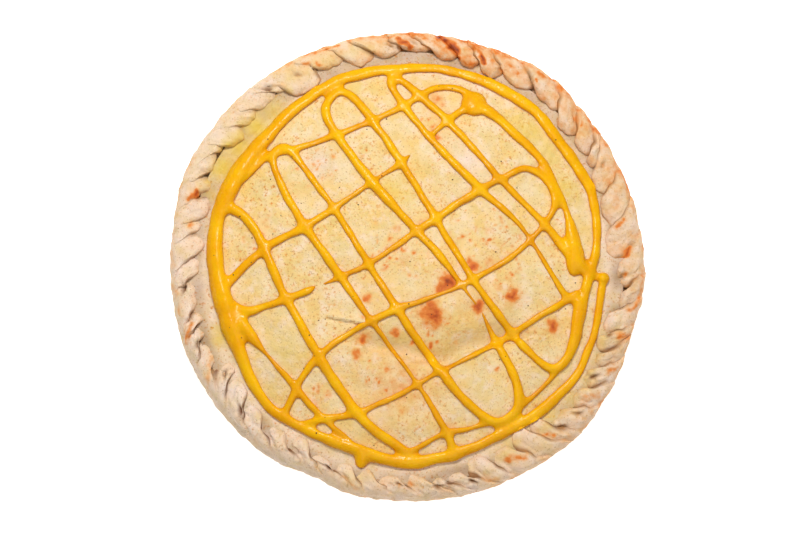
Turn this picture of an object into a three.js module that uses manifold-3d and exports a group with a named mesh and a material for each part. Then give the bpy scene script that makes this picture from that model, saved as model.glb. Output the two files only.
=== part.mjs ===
// A round pizza stuffed with chicken: a bottom sheet of dough whose edge is folded over a domed top sheet in
// a slanting rope of pleats, baked shut, with a thick yellow cream sauce piped over it as a ring and lattice.
// The baked pizza is uncut, so all of it is one solid.
// Millimetres, +Z up. The origin is the middle of the flat underside.
import * as THREE from "three";
import { mergeVertices } from "three/addons/utils/BufferGeometryUtils.js";
import Module from "manifold-3d";

// Driving sizes of the dough
const OUTER_RADIUS = 158; // usual reach of the pleated rim
const BASE_RADIUS = 145; // where the flat underside starts to turn up
const RIM_CREST = 20.5; // height of the line that the pleats are folded along
const LID_RADIUS = 135; // where the top sheet meets the rim
const LID_STEPS = 36; // facets around the top sheet
// Radii at which the top sheet's height is worked out, from its edge under the pleats to its middle
const LID_RINGS = [LID_RADIUS + 12, LID_RADIUS, 120, 102, 80, 54, 27, 0];
const LID_EDGE = 16; // height of the top sheet there
const LID_RISE = 16; // how far the filling lifts the middle of the top sheet
const LID_FLATNESS = 3; // power of the dome: higher is flatter on top

// Broad lumps that the filling makes in the top sheet: x, y, spread, rise
const LUMPS = [
  [28, -14, 30, 3.2],
  [42, -84, 26, 2.2],
  [-52, 14, 34, 2.0],
  [44, 70, 28, 2.2],
  [-68, -48, 24, 1.6],
  [-14, 96, 26, 1.4],
  [0, -56, 17, -2.2],
  [58, -54, 15, -1.6],
  [-38, -12, 12, -1.0],
];

// Driving sizes of the rope of pleats
const PLEAT_LEAN = 7.4; // degrees that a pleat leans from its root to its tip
const PLEAT_SWELL = 3.4; // how far a pleat stands proud of the crease beside it
const PLEAT_NOTCH = 4.5; // how much further a tip reaches over the top sheet than the crease beside it
const PLEAT_OVERLAP = 1.3; // how far the lip of a pleat leans over that crease
const TIP_RADIUS = 140.5; // where a pleat of the usual length ends
// The pleats, as the hand folded them: angle in degrees of the crease before each tip, and radius of the tip
const PLEATS = [
  [2, 134], [10.5, 136], [19.8, 137], [27.3, 140], [31.2, 140], [37.8, 139], [44.5, 144], [54.8, 142],
  [63.6, 140], [70, 141], [76, 142], [83, 145], [91.5, 142], [98.8, 139], [105.8, 143], [114.5, 135],
  [123.5, 144], [127, 143], [134, 142], [140, 139], [145.8, 146], [149.3, 145], [156, 141], [161, 137],
  [167.2, 140], [171.3, 136], [177.3, 138], [183.3, 141], [192.3, 140], [196, 142], [200.3, 141],
  [207.8, 133], [212.7, 134], [220.3, 137], [228, 137], [236.6, 133], [242.5, 138], [250, 137], [256, 138],
  [262, 140], [269.5, 139], [275.5, 142], [280.5, 141], [286, 135], [293, 137], [300.5, 132], [306.5, 133],
  [311.5, 141], [319.5, 141], [326, 139], [331.5, 140], [336, 136], [341, 137], [347.5, 144], [354.3, 141],
];
// Across one pleat, from the crease where it comes out from under its neighbour to its own lip:
// share of the swell, and share of the overlap
const PLEAT_SECTION = [
  [0, -0.5],
  [0.62, 0],
  [0.94, 0],
  [1, 0.35],
  [0.72, 1],
];
// The way of the bottom sheet, from the middle of the underside up the wall, over the crest, down to the tip
// of a pleat and back under the top sheet: radius, height, then its share of the lean, of the swell, of the
// reach and of the plain side's slope. Where nothing swells, the dough is one smooth sheet.
const BOTTOM_WAY = [
  [0, 0, 0, 0, 0, 0],
  [BASE_RADIUS, 0, 0, 0, 0, 0],
  [BASE_RADIUS + 6, 2, 0, 0, 0, 0],
  [OUTER_RADIUS - 1, 8, 0.05, 0.7, 0, 0.1],
  [OUTER_RADIUS, 14.5, 0.2, 0.95, 0, 0.75],
  [OUTER_RADIUS - 4, RIM_CREST - 0.5, 0.45, 1, 0, 0.6],
  [OUTER_RADIUS - 9.5, RIM_CREST + 0.5, 0.7, 1, 0.2, 0.4],
  [OUTER_RADIUS - 14.5, RIM_CREST - 0.5, 0.9, 0.95, 0.7, 0],
  [TIP_RADIUS, RIM_CREST - 3, 1, 0.7, 1, 0],
  [OUTER_RADIUS - 15, LID_EDGE - 5, 1, 0, 0, 0],
  [0, LID_EDGE - 5, 1, 0, 0, 0],
];
const PLAIN_SIDE = 232; // degrees: the side where the wall under the pleats is smoother and slopes inwards
const PLAIN_SLOPE = 7; // how far it slopes

// Where the hand-shaped rim strays from a true circle: angle, breadth in degrees, and how far it swells out
const STRAYS = [
  [54, 9, 3.2],
  [140, 24, 2.2],
  [157, 7, 2],
  [200, 26, 0.9],
  [246, 7, -3.6],
  [268, 16, -0.9],
  [316, 9, 2],
  [343, 7, -1.6],
  [357, 6, 1.4],
];

// Driving sizes of the sauce
const SAUCE_STEP = 26; // longest straight piece of a bead
const SAUCE_BEND = 23; // most that a bead turns between two straight pieces, in degrees
const SAUCE_SIDES = 5;
const SAUCE_HEIGHT = 0.92; // a bead's full height over its width
const SAUCE_LIFT = 0.1; // how far its middle lies above the dough, over its width

// The ring of sauce, clockwise from the right, at even turns: radius, width
const RING_START = -3.5; // degrees
const RING_TURN = -14.6;
const RING = [
  [131, 8.7], [131, 6.7], [134, 6.4], [131, 7.8], [128, 6.8], [129, 7.8], [130, 8.4], [126, 7.8], [127, 6.7],
  [130, 7.4], [125, 9], [123, 12.4], [126, 11.6], [129, 10.2], [128, 12], [127, 10], [130, 8], [133, 8],
  [133, 7.2], [135, 6.6], [135, 8], [135, 7.8], [132, 8], [133, 7.2], [127, 6.2], [120, 8],
];

// The lattice, as the hand laid it: x, y and width of the bead at each change of course
const STRANDS = {
  steep_left: [
    [-110, -38, 10], [-99, -51, 6.7], [-92, -59, 3.4], [-73, -81, 5.6], [-59, -97, 4.7], [-36, -117, 4],
  ],
  steep_second: [
    [-123, 41, 8], [-108, 33, 6.4], [-95, 13, 6.7], [-79, -23, 6], [-32, -98, 7.4], [2, -125, 6],
  ],
  steep_looped_left: [
    [31, -123, 6.7], [27, -112, 6], [8, -80, 3.6], [-22, -39, 4.2], [-43, -9, 6], [-67, 25, 6],
    [-82, 51, 6], [-89, 72, 6], [-82, 79, 6.7], [-72, 70, 5.4], [-48, 37, 4.9], [-6, -30, 5.6],
    [22, -70, 6.4], [43, -94, 6.4], [60, -104, 6.7], [73, -96, 6.7], [73, -80, 6.7], [60, -52, 5.4],
    [49, -32, 2.2],
  ],
  steep_looped_middle: [
    [46, -28, 2.2], [22, 5, 5.7], [7, 21, 5.4], [-22, 54, 7], [-47, 88, 6], [-54, 106, 6.7],
    [-44, 117, 6], [-32, 109, 6.4], [-3, 67, 5.7], [43, -9, 5.4], [70, -46, 6], [83, -60, 6],
    [97, -69, 6.4], [107, -61, 6.7], [112, -46, 8], [115, -24, 7.4],
  ],
  steep_looped_right: [
    [115, -24, 6.7], [105, -20, 5.4], [82, 17, 3.4], [69, 32, 4.7], [49, 49, 6], [15, 85, 5.7],
    [-3, 109, 5.7], [-11, 125, 5.4], [-4, 125, 5.7], [11, 112, 6], [28, 96, 5.7], [62, 57, 5],
    [93, 25, 5.7], [110, 4, 8],
  ],
  right_side: [
    [56, 105, 7.6], [69, 91, 6.7], [90, 70, 6.4], [100, 51, 5.4], [107, 35, 5], [111, 17, 9.4],
    [113, 3, 9.4], [122, -8, 6.7], [119, -22, 6.7], [114, -38, 8],
  ],
  shallow_top: [
    [-119, 49, 7.4], [-106, 61, 6], [-91, 73, 5.4], [-71, 78, 5], [-22, 96, 4.7], [-3, 106, 5],
    [20, 119, 5.4], [36, 121, 5.7], [46, 114, 7.4], [35, 104, 5.4], [15, 85, 3.4],
  ],
  shallow_second: [
    [3, 73, 2], [-3, 67, 5], [-17, 58, 3.4], [-48, 36, 5], [-67, 24, 6], [-93, 11, 5.4], [-119, -13, 7],
  ],
  shallow_third: [[-118, -25, 8], [-106, -31, 7.4], [-93, -28, 5.4], [-64, -18, 5.4], [-59, -15, 2]],
  shallow_looped: [
    [-55, -14, 2], [-43, -9, 4], [-24, 0, 4], [20, 30, 5.7], [49, 49, 5.4], [63, 57, 4.7], [80, 64, 5.4],
    [94, 56, 6], [99, 42, 6], [92, 27, 4.4], [70, 5, 4.4], [45, -10, 4.7], [22, -21, 3.6], [-6, -30, 5.4],
    [-37, -46, 4.7], [-58, -61, 5.4], [-68, -74, 5.4], [-80, -98, 5.4],
  ],
  shallow_fourth: [
    [-70, -106, 5.4], [-56, -102, 5.4], [-32, -98, 4.7], [-5, -86, 4.4], [22, -71, 4], [60, -52, 4.7],
    [89, -34, 4.7], [114, -19, 6],
  ],
  shallow_bottom: [[-1, -126, 5.4], [16, -116, 4], [29, -110, 4.7], [42, -108, 3.7], [56, -104, 4.7]],
  shallow_link: [[100, -70, 4], [92, -79, 3.7], [74, -95, 4.7]],
};

// Where the sauce pooled at the end of a stroke: x, y, width, length, turn in degrees
const POOLS = [
  [45, 112, 15, 16, 0],
  [-29, -127, 9, 14, 80],
  [-114, -36, 14, 20, 115],
  [111, 8, 12, 20, 90],
];

const wasm = await Module();
wasm.setup();

// A fixed uneven number from -1 to 1 for each whole number
function uneven(seed) {
  const wave = Math.sin(seed * 12.9898 + 4.1414) * 43758.5453;
  return 2 * (wave - Math.floor(wave)) - 1;
}

// How far the rim swells out at an angle in degrees
function stray(degrees) {
  return STRAYS.reduce((sum, [angle, breadth, swell]) => {
    const away = THREE.MathUtils.euclideanModulo(degrees - angle + 180, 360) - 180;
    return sum + swell * Math.exp(-((away / breadth) ** 2));
  }, 0);
}

function lidHeight(x, y) {
  const out = Math.min(Math.hypot(x, y) / LID_RADIUS, 1);
  const dome = LID_EDGE + LID_RISE * (1 - out ** LID_FLATNESS);
  const fade = 1 - out ** 6; // the lumps die out where the sheet is pressed down
  return LUMPS.reduce(
    (height, [lumpX, lumpY, spread, rise]) =>
      height + fade * rise * Math.exp(-((x - lumpX) ** 2 + (y - lumpY) ** 2) / spread ** 2),
    dome,
  );
}

function solidOf(geometry) {
  const bare = geometry.clone();
  bare.deleteAttribute("normal");
  bare.deleteAttribute("uv");
  const merged = mergeVertices(bare, 1e-3);
  return new wasm.Manifold(
    new wasm.Mesh({
      numProp: 3,
      vertProperties: new Float32Array(merged.attributes.position.array),
      triVerts: new Uint32Array(merged.index.array),
    }),
  );
}

// The bottom sheet: a turned dish whose wall swells into a slanting pleat after every crease
function bottomSheet() {
  const columns = PLEAT_SECTION.length;
  const profile = BOTTOM_WAY.map(([radius, height]) => new THREE.Vector2(radius, height));
  const dish = new THREE.LatheGeometry(profile, PLEATS.length * columns).rotateX(Math.PI / 2);
  const place = dish.attributes.position;
  const heart = new THREE.Vector2(OUTER_RADIUS - 14, RIM_CREST - 11);
  const outwards = new THREE.Vector2();
  for (let i = 0; i < place.count; i++) {
    const column = Math.floor(i / BOTTOM_WAY.length) % (PLEATS.length * columns);
    const pleat = Math.floor(column / columns);
    const [radius, height, leanShare, swellShare, reachShare, slopeShare] = BOTTOM_WAY[i % BOTTOM_WAY.length];
    const [swell, overlap] = PLEAT_SECTION[column % columns];
    const [start, tip] = PLEATS[pleat];
    const end = pleat + 1 < PLEATS.length ? PLEATS[pleat + 1][0] : PLEATS[0][0] + 360;
    const spread = swellShare > 0 ? (column % columns) / columns : 0;
    const lean = PLEAT_LEAN * (1 - leanShare) * (1 + 0.1 * uneven(pleat + 100));
    const turn = start + (end - start) * spread + lean;
    const size = 1 + 0.16 * uneven(pleat);
    const plain = slopeShare * Math.max(0, Math.cos(THREE.MathUtils.degToRad(turn - PLAIN_SIDE))) ** 2;
    const reach = reachShare * (TIP_RADIUS - tip + PLEAT_NOTCH * (swell - 1));
    const swollen = radius > 0 ? radius + stray(turn) * (1 - reachShare) : 0;
    outwards.set(radius, height).sub(heart).normalize();
    outwards.multiplyScalar(PLEAT_SWELL * (size * swell - 0.5) * swellShare * (1 - 0.5 * plain));
    const out = swollen + outwards.x - reach - PLAIN_SLOPE * plain;
    const slip = radius > 0 ? (PLEAT_OVERLAP * overlap * swellShare) / radius : 0;
    const angle = THREE.MathUtils.degToRad(turn) + slip;
    place.setXYZ(i, out * Math.cos(angle), out * Math.sin(angle), height + outwards.y);
  }
  return solidOf(dish);
}

// The top sheet with the filling that it covers: a turned disc whose top is lifted to the filling's shape
function topSheet() {
  const profile = [
    [0, LID_EDGE / 2],
    [LID_RINGS[0], LID_EDGE / 2],
    ...LID_RINGS.map((radius) => [radius, LID_EDGE]),
  ].map(([radius, height]) => new THREE.Vector2(radius, height));
  const disc = new THREE.LatheGeometry(profile, LID_STEPS).rotateX(Math.PI / 2);
  const place = disc.attributes.position;
  for (let i = 0; i < place.count; i++) {
    if (place.getZ(i) > 0.9 * LID_EDGE) place.setZ(i, lidHeight(place.getX(i), place.getY(i)));
  }
  return solidOf(disc);
}

// Places along a curve, as shares of its length: close together at its bends and far apart between them
function stationsAlong(curve) {
  const length = curve.getLength();
  const fine = Math.ceil(length); // about one trial place per millimetre
  const stations = [0];
  let last = curve.getTangentAt(0);
  for (let i = 1; i < fine; i++) {
    const tangent = curve.getTangentAt(i / fine);
    const bend = THREE.MathUtils.radToDeg(tangent.angleTo(last));
    const run = i - stations.at(-1) * fine;
    if (bend > SAUCE_BEND || run > SAUCE_STEP) {
      stations.push(i / fine);
      last = tangent;
    }
  }
  return [...stations, 1];
}

// One bead of sauce through points of x, y and width, lying on the top sheet
function bead(points) {
  const lie = points.map(([x, y, width]) => new THREE.Vector3(x, y, lidHeight(x, y) + SAUCE_LIFT * width));
  const curve = new THREE.CatmullRomCurve3(lie, false, "centripetal");
  const flat = points.map(([x, y, width]) => new THREE.Vector3(x, y, width));
  const widths = new THREE.CatmullRomCurve3(flat, false, "centripetal");
  const stations = stationsAlong(curve);
  const steps = stations.length - 1;
  const body = new THREE.CylinderGeometry(1, 1, 1, SAUCE_SIDES, steps);
  const place = body.attributes.position;
  const corner = new THREE.Vector3();
  const side = new THREE.Vector3();
  for (let i = 0; i < place.count; i++) {
    corner.fromBufferAttribute(place, i);
    const station = Math.round((0.5 - corner.y) * steps);
    const share = stations[station];
    const rounding = station === 0 || station === steps ? 0.55 : 1;
    const halfWidth = (rounding * widths.getPointAt(share).z) / 2;
    const along = curve.getTangentAt(share);
    side.set(-along.y, along.x, 0).normalize();
    const point = curve.getPointAt(share).addScaledVector(side, corner.x * halfWidth);
    place.setXYZ(i, point.x, point.y, point.z + corner.z * halfWidth * SAUCE_HEIGHT);
  }
  return solidOf(body);
}

function ringPoints() {
  return RING.map(([radius, width], index) => {
    const angle = THREE.MathUtils.degToRad(RING_START + index * RING_TURN);
    return [radius * Math.cos(angle), radius * Math.sin(angle), width];
  });
}

function pool([x, y, width, length, turn]) {
  const drop = new THREE.SphereGeometry(1, 10, 6)
    .rotateX(Math.PI / 2)
    .scale(length / 2, width / 2, 3.6)
    .rotateZ(THREE.MathUtils.degToRad(turn))
    .translate(x, y, lidHeight(x, y));
  return solidOf(drop);
}

const pieces = [
  bottomSheet(),
  topSheet(),
  bead(ringPoints()),
  ...Object.values(STRANDS).map(bead),
  ...POOLS.map(pool),
];
const joined = pieces.reduce((sum, piece) => sum.add(piece));
// Pockets that the pleats close off are filled, by keeping the outermost shell alone
const whole = joined.decompose().reduce((best, shell) => (shell.volume() > best.volume() ? shell : best));

const mesh = whole.getMesh();
const geometry = new THREE.BufferGeometry()
  .setAttribute("position", new THREE.BufferAttribute(mesh.vertProperties, 3))
  .setIndex(new THREE.BufferAttribute(mesh.triVerts, 1));
const stuffedPizza = new THREE.Mesh(
  geometry,
  new THREE.MeshStandardMaterial({ color: 0xe6d3b1, roughness: 0.75, metalness: 0 }),
);
stuffedPizza.name = "stuffed_pizza";

const root = new THREE.Group();
root.add(stuffedPizza);
export default root;
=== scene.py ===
# %% [markdown]
# # A chicken stuffed pizza, modelled in Blender
# A stuffed pizza is a filling baked between two sheets of dough. The edge of the bottom sheet is folded
# over the top sheet in a slanting rope of pleats, and a thick yellow cream sauce is piped over both. The
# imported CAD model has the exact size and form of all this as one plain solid. Four dressed pieces take its
# place here: the bottom sheet with its pleats, the top sheet, the sauce and the pepper in it. Blender works
# in metres, +Z up. The origin is the middle of the flat underside.

import math

import bpy
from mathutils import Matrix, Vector, noise


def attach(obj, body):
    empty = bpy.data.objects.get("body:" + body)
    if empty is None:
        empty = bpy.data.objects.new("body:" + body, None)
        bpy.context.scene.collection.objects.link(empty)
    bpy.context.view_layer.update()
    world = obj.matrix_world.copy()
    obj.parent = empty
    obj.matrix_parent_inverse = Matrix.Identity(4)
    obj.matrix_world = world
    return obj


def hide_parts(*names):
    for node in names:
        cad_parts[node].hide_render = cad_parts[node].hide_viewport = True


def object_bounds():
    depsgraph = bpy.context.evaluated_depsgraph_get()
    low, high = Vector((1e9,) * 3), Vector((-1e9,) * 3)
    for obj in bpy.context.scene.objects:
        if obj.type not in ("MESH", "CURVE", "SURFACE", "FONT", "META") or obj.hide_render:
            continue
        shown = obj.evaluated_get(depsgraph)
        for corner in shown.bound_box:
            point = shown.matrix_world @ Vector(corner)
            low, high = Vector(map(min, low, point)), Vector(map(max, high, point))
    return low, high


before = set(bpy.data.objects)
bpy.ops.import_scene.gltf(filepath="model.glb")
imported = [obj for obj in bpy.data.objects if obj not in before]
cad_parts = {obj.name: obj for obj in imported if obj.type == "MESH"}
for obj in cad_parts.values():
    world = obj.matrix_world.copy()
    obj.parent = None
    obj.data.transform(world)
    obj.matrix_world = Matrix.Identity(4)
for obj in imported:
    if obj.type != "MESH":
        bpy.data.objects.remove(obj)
cad_low, cad_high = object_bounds()
MM = 0.001  # metres in a millimetre
print("the CAD's pizza in mm:", [round(side / MM, 1) for side in cad_high - cad_low])

# %% [markdown]
# ## The camera
# The picture was taken from almost straight above. A long lens keeps the circle of the rim true. The
# distance follows from how wide a strip of the table the picture shows, so a millimetre on the pizza takes
# up as many pixels as it does there. The camera comes first, because every later choice is judged through
# it.

# %% Place the camera
PICTURE_WIDTH = 800  # pixels
PIXEL_ON_TABLE = 0.6695 * MM  # what one pixel shows of the pizza
LENS = 85.0
SENSOR = 36.0
ELEVATION = math.radians(84)
AIM = Vector((-4.02, 0.33, 9.0)) * MM  # the point in the middle of the picture

towards_camera = Vector((0, -math.cos(ELEVATION), math.sin(ELEVATION)))
camera_distance = PICTURE_WIDTH * PIXEL_ON_TABLE * LENS / SENSOR
bpy.ops.object.select_all(action="DESELECT")
bpy.ops.object.camera_add(
    location=AIM + towards_camera * camera_distance,
    rotation=(-towards_camera).to_track_quat("-Z", "Y").to_euler(),
)
camera = bpy.context.object
camera.data.lens = LENS
camera.data.sensor_width = SENSOR
bpy.context.scene.camera = camera
print("the camera stands", round(camera_distance, 3), "m away")

# %% [markdown]
# ## Sizes that the CAD model uses too
# The dressed pieces have to lie where the plain solid lies. So the same named sizes come first, in
# millimetres, and the same small functions work out the form of the dough from them.

# %% Sizes of the dough
OUTER_RADIUS = 158
RIM_CREST = 20.5
LID_RADIUS = 135
LID_EDGE = 16
LID_RISE = 16
LID_FLATNESS = 3
LUMP_FADE = 6  # the higher, the nearer to the edge the lumps still stand
LUMPS = [  # x, y, spread and rise of the lumps that the filling makes
    (28, -14, 30, 3.2), (42, -84, 26, 2.2), (-52, 14, 34, 2.0), (44, 70, 28, 2.2), (-68, -48, 24, 1.6),
    (-14, 96, 26, 1.4), (0, -56, 17, -2.2), (58, -54, 15, -1.6), (-38, -12, 12, -1.0),
]
STRAYS = [  # angle, breadth in degrees and swell, where the rim strays from a true circle
    (54, 9, 3.2), (140, 24, 2.2), (157, 7, 2), (200, 26, 0.9), (246, 7, -3.6), (268, 16, -0.9), (316, 9, 2),
    (343, 7, -1.6), (357, 6, 1.4),
]


def uneven(seed):
    """A fixed uneven number from -1 to 1 for each whole number."""
    wave = math.sin(seed * 12.9898 + 4.1414) * 43758.5453
    return 2 * (wave - math.floor(wave)) - 1


def bell(distance, breadth):
    """1 at no distance, falling softly to nothing beyond about twice the breadth."""
    return math.exp(-((distance / breadth) ** 2))


def turn_between(degrees, other):
    """The shortest turn from one angle to another, in degrees."""
    return (degrees - other + 180) % 360 - 180


def stray(degrees):
    """How far the rim strays from a true circle at an angle."""
    return sum(swell * bell(turn_between(degrees, angle), breadth) for angle, breadth, swell in STRAYS)


def lid_height(x, y):
    """The dome of the top sheet with the broad lumps of the filling."""
    out = min(math.hypot(x, y) / LID_RADIUS, 1)
    dome = LID_EDGE + LID_RISE * (1 - out**LID_FLATNESS)
    fade = 1 - out**LUMP_FADE
    lumps = sum(fade * rise * bell(math.hypot(x - lx, y - ly), spread) for lx, ly, spread, rise in LUMPS)
    return dome + lumps


print("the top sheet rises from", LID_EDGE, "to", round(lid_height(0, 0), 1), "mm")

# %% [markdown]
# ## Small helpers for grain and baking
# Baked dough is uneven at every scale. Noise that is read at a point of the piece gives lumps of any
# breadth. Baking shows as spots, so a spot is a short stroke: where it starts and ends, how broad it is and
# how dark. Asking every spot about every point would be slow, so the spots are first sorted into squares.

# %% Helpers for grain and spots
SQUARE = 20  # side of the squares that spots are sorted into
SPOT_REACH = 3  # how many of its breadths away a spot still counts
RAGGEDNESS = 1.6  # how far the edge of a spot strays
RAG_BREADTH = 4  # how broad each rag of it is
HALO_DEPTH = 0.3  # of the spot's own depth
HALO_BREADTH = 2  # times the spot's own breadth


def grain(x, y, z, breadth):
    """Soft noise from about -1 to 1, its lumps so many millimetres broad. Another z gives other lumps."""
    return noise.noise(Vector((x / breadth, y / breadth, z / breadth)))


def ease(value, low, high):
    """A soft step from 0 at the low value to 1 at the high one."""
    share = min(max((value - low) / (high - low), 0), 1)
    return share * share * (3 - 2 * share)


def from_stroke(x, y, stroke):
    """How far a point lies from a stroke, which is a line between two points."""
    ax, ay, bx, by = stroke
    along_x, along_y = bx - ax, by - ay
    length = along_x**2 + along_y**2
    share = ((x - ax) * along_x + (y - ay) * along_y) / length if length else 0
    share = min(max(share, 0), 1)
    return math.hypot(x - ax - share * along_x, y - ay - share * along_y)


def round_place(degrees, radius):
    """The x and y of a place that is given by its angle and radius."""
    angle = math.radians(degrees)
    return radius * math.cos(angle), radius * math.sin(angle)


def squares_along(start, end, margin):
    """The numbers of the squares between two places, with a margin at both ends."""
    low, high = sorted((start, end))
    return range(math.floor((low - margin) / SQUARE), math.floor((high + margin) / SQUARE) + 1)


def spots_near(spots):
    """Sorts spots into squares of the table, so that a point asks only those that can colour it."""
    squares = {}
    for spot in spots:
        ax, ay, bx, by, breadth, _ = spot
        for column in squares_along(ax, bx, SPOT_REACH * breadth):
            for line in squares_along(ay, by, SPOT_REACH * breadth):
                squares.setdefault((column, line), []).append(spot)
    return squares


def spot_depth(x, y, squares):
    """The deepest colour that any spot or the halo round it gives to a point, with ragged edges."""
    deepest = 0
    near = squares.get((math.floor(x / SQUARE), math.floor(y / SQUARE)), ())
    if near:
        stray_x, stray_y = grain(x, y, 20, RAG_BREADTH), grain(x, y, 50, RAG_BREADTH)
        x, y = x + RAGGEDNESS * stray_x, y + RAGGEDNESS * stray_y
    for *stroke, breadth, depth in near:
        away = from_stroke(x, y, stroke)
        halo = HALO_DEPTH * depth * bell(away, HALO_BREADTH * breadth)
        deepest = max(deepest, depth * bell(away, breadth), halo)
    return deepest


def paint(piece, name, values):
    """Stores one number for each point of a piece, for its material to read."""
    layer = piece.data.attributes.new(name, "FLOAT", "POINT")
    layer.data.foreach_set("value", values)


def keep_inside(piece):
    """Holds a piece within the box of the CAD model and says how many points were outside."""
    outside = 0
    for vertex in piece.data.vertices:
        held = Vector([min(max(v, low), high) for v, low, high in zip(vertex.co, cad_low, cad_high)])
        if (held - vertex.co).length > 1e-7:
            outside += 1
            vertex.co = held
    print(piece.name, "has", len(piece.data.vertices), "points,", outside, "of them held inside the box")


# %% [markdown]
# ## The bottom sheet: the strip that is folded
# On the real pizza the edge of the bottom sheet is pulled over the top sheet a thumb's breadth at a time,
# and each pull leaves a slanting pleat with a rounded tip. A sculpting brush could do this, but not twice
# alike. Here a flat strip is the start, as in a kitchen: its length runs round the pizza, its breadth from
# the middle of the underside, up the wall, over the crest and back under the top sheet. Code then lays each
# point of the strip where the fold carries it.

# %% The pleats and the way of the sheet
# Degrees of the crease before each tip, and the radius of the tip
PLEATS = [
    (2, 134), (10.5, 136), (19.8, 137), (27.3, 140), (31.2, 140), (37.8, 139), (44.5, 144), (54.8, 142),
    (63.6, 140), (70, 141), (76, 142), (83, 145), (91.5, 142), (98.8, 139), (105.8, 143), (114.5, 135),
    (123.5, 144), (127, 143), (134, 142), (140, 139), (145.8, 146), (149.3, 145), (156, 141), (161, 137),
    (167.2, 140), (171.3, 136), (177.3, 138), (183.3, 141), (192.3, 140), (196, 142), (200.3, 141),
    (207.8, 133), (212.7, 134), (220.3, 137), (228, 137), (236.6, 133), (242.5, 138), (250, 137),
    (256, 138), (262, 140), (269.5, 139), (275.5, 142), (280.5, 141), (286, 135), (293, 137), (300.5, 132),
    (306.5, 133), (311.5, 141), (319.5, 141), (326, 139), (331.5, 140), (336, 136), (341, 137),
    (347.5, 144), (354.3, 141),
]
PLEAT_LEAN = 7.4  # degrees between its foot and its tip
PLEAT_SWELL = 3.4
PLEAT_NOTCH = 4.5  # how far the sheet draws back between two tips
PLEAT_OVERLAP = 1.3  # how far a lip reaches over the next crease
TIP_RADIUS = 140.5
PLAIN_SIDE = 232  # the angle where the wall slopes most and shows in the picture
PLAIN_SLOPE = 7
# Radius and height, then shares of the lean, of the swell, of the reach and of the plain side's slope
FOLD_WAY = [
    (145.0, 0.0, 0.0, 0.0, 0.0, 0.0),
    (151.0, 2.0, 0.0, 0.1, 0.0, 0.0),
    (157.0, 8.0, 0.05, 0.35, 0.0, 0.1),
    (158.0, 14.5, 0.2, 0.5, 0.0, 0.75),
    (154.0, 20.0, 0.45, 0.8, 0.0, 0.6),
    (148.5, 21.0, 0.7, 0.95, 0.2, 0.4),
    (143.5, 20.2, 0.9, 1.0, 0.7, 0.0),
    (140.6, 17.8, 1.0, 0.6, 1.0, 0.0),
    (140.4, 15.8, 1.0, 0.3, 1.0, 0.0),
    (142.0, 13.0, 1.0, 0.0, 1.0, 0.0),
]
UNDERSIDE_RADII = [0, 45, 85, 115, 135]
HIDDEN_WAY = [(138, 12), (100, 11), (0, 11)]  # radius and height of the part under the top sheet
FOLD_ROWS = 58
PLEAT_STEPS = 24  # columns in each pleat
COLUMNS = len(PLEATS) * PLEAT_STEPS
MM_PER_DEGREE = 2.6  # on the rim


def smooth_way(stops, count):
    """Values at even distances on a smooth way through the stops."""
    run = [0]
    for before, after in zip(stops, stops[1:]):
        run.append(run[-1] + math.dist(before[:2], after[:2]))
    last = len(stops) - 1
    slopes = []
    for i in range(last + 1):
        low, high = max(i - 1, 0), min(i + 1, last)
        slopes.append([(b - a) / (run[high] - run[low]) for a, b in zip(stops[low], stops[high])])
    rows = []
    for step in range(count + 1):
        place = run[-1] * step / count
        i = max(k for k in range(last) if run[k] <= place + 1e-9)
        gap = run[i + 1] - run[i]
        t = (place - run[i]) / gap
        weights = (2 * t**3 - 3 * t**2 + 1, t**3 - 2 * t**2 + t, 3 * t**2 - 2 * t**3, t**3 - t**2)
        rows.append([
            weights[0] * a + weights[1] * gap * ma + weights[2] * b + weights[3] * gap * mb
            for a, ma, b, mb in zip(stops[i], slopes[i], stops[i + 1], slopes[i + 1])
        ])
    return rows


rows = [(radius, 0, 0, 0, 0, 0) for radius in UNDERSIDE_RADII]
rows += smooth_way(FOLD_WAY, FOLD_ROWS)
rows += [(radius, height, 1, 0, 0, 0) for radius, height in HIDDEN_WAY]
print("the strip has", COLUMNS, "columns and", len(rows), "rows")

# %% [markdown]
# ## Across one pleat
# A pleat comes out from under its neighbour, swells, and ends in a lip that leans over the next crease. At
# the top right of the picture the pleats are full rolls. At the top left they are pressed nearly flat.
# Further down they are scoops that a thumb pressed, with a narrow ridge between them. Four numbers go from
# one kind to the next round the rim: how full the pleats are, how deep, how far over the crest their
# creases start, and how much the oven warmed them. Each pleat also strays a little from these numbers, and
# its lean passes evenly into the next one's, because a jump would make the wall fold over itself.

# %% Shape of a pleat
RIM_FORMS = [  # angle, then fullness, depth, start of the creases and warmth
    (20, 0.7, 1.0, 0.25, 0.17), (50, 0.9, 1.05, 0.2, 0.2), (75, 1.0, 1.15, 0.15, 0.26),
    (104, 0.7, 0.75, 0.45, 0.16), (130, 0.5, 0.45, 0.75, 0.05), (160, 0.4, 0.5, 0.65, 0.06),
    (185, 0.3, 0.95, 0.45, 0.05), (225, 0.1, 1.4, 0.35, 0.0), (262, 0.2, 1.1, 0.4, 0.1),
    (290, 0.15, 1.15, 0.3, 0.08), (335, 0.45, 1.15, 0.25, 0.12), (380, 0.7, 1.0, 0.25, 0.17),
]
CROWDING = 0.09  # how much closer together the columns stand at the creases
FULL_FROM = 0.78  # share of the way across a pleat where it is full
LIP_FROM = 0.93  # share of the way where its lip turns down
LIP_FALL = 0.9  # share of the swell that the lip loses
FULLNESS_STRAY = 0.15
SIZE_STRAY = 0.2
LEAN_STRAY = 0.3


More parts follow.
